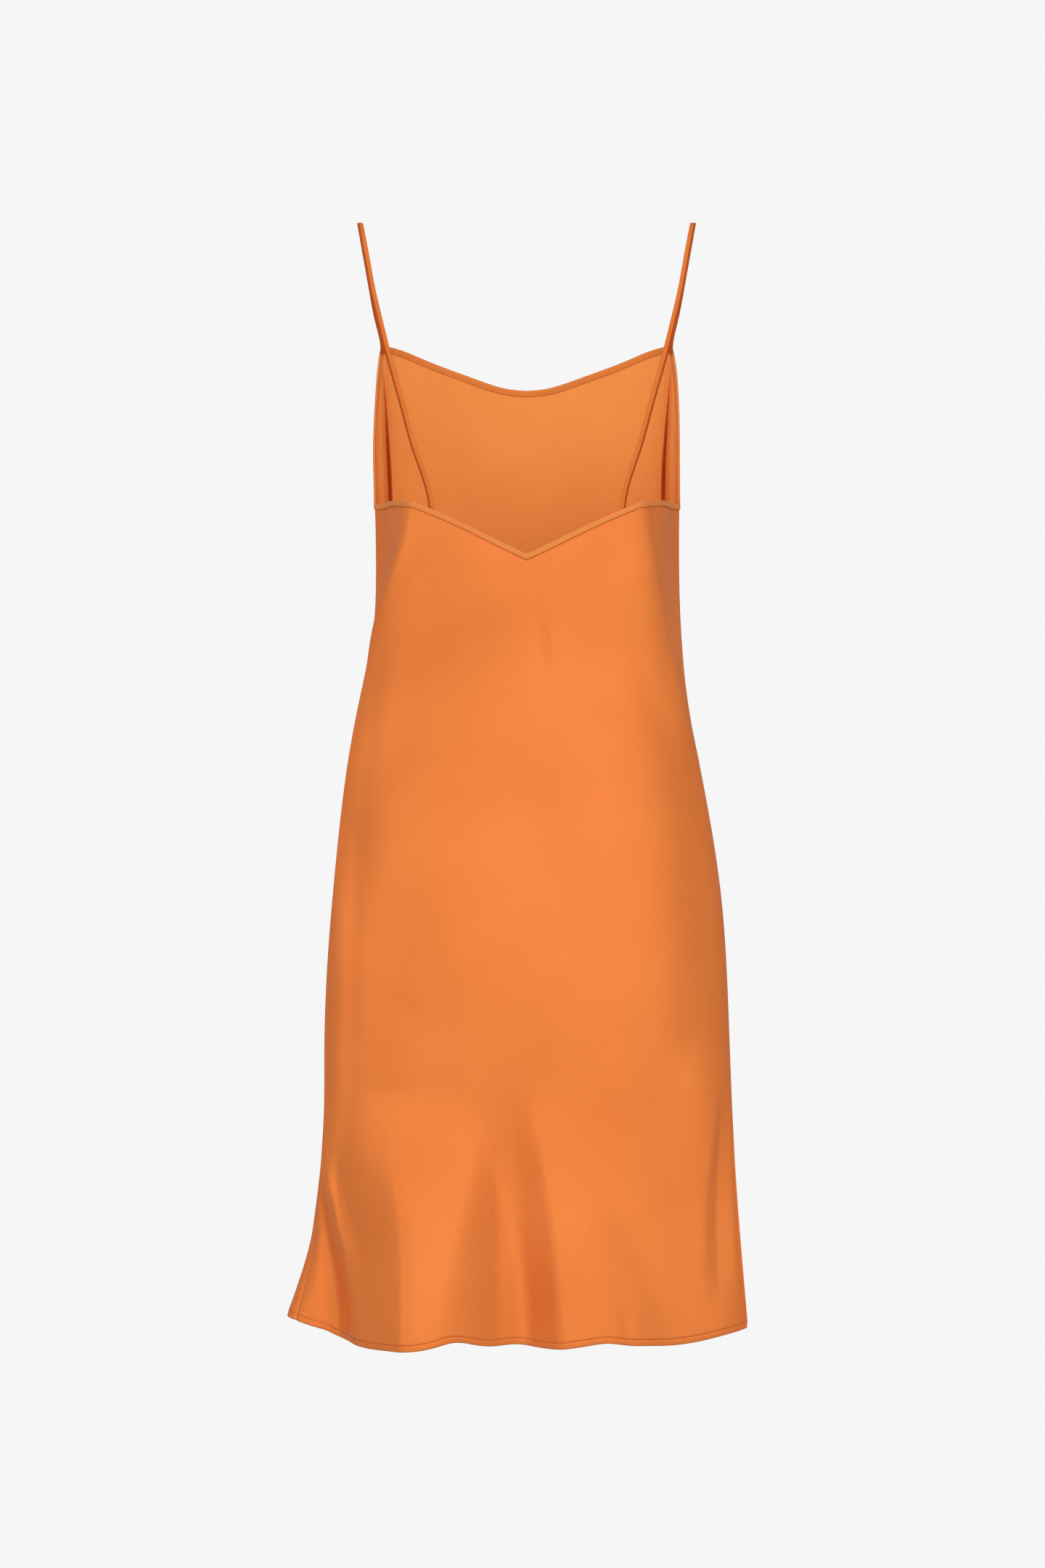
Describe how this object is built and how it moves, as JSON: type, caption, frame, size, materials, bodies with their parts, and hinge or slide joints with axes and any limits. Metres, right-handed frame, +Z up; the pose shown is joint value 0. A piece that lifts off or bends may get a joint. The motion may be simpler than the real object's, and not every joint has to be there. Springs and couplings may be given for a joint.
{
  "type": "slip dress",
  "caption": "Bias-cut satin slip dress with thin shoulder straps, a softly dipped front neckline, a shallow V back and a fluted hem, filled out as worn.",
  "frame": {"origin": "midpoint between the tops of the two shoulder straps, where the wearer's shoulders carry the dress", "axes": "+Z up along the body, +Y towards the wearer's back, +X towards the wearer's left hand"},
  "size_m": [0.4268, 0.2873, 1.0381],
  "materials": {
    "front_panel": "satin",
    "back_panel": "satin",
    "front_neck_binding": "satin",
    "back_neck_binding": "satin",
    "armhole_binding_left": "satin",
    "armhole_binding_right": "satin",
    "strap_left": "satin",
    "strap_right": "satin"
  },
  "bodies": {
    "root": {"front_panel": "front_panel", "back_panel": "back_panel", "front_neck_binding": "front_neck_binding", "back_neck_binding": "back_neck_binding", "armhole_binding_left": "armhole_binding_left", "armhole_binding_right": "armhole_binding_right", "strap_left": "strap_left", "strap_right": "strap_right"}
  },
  "joints": []
}
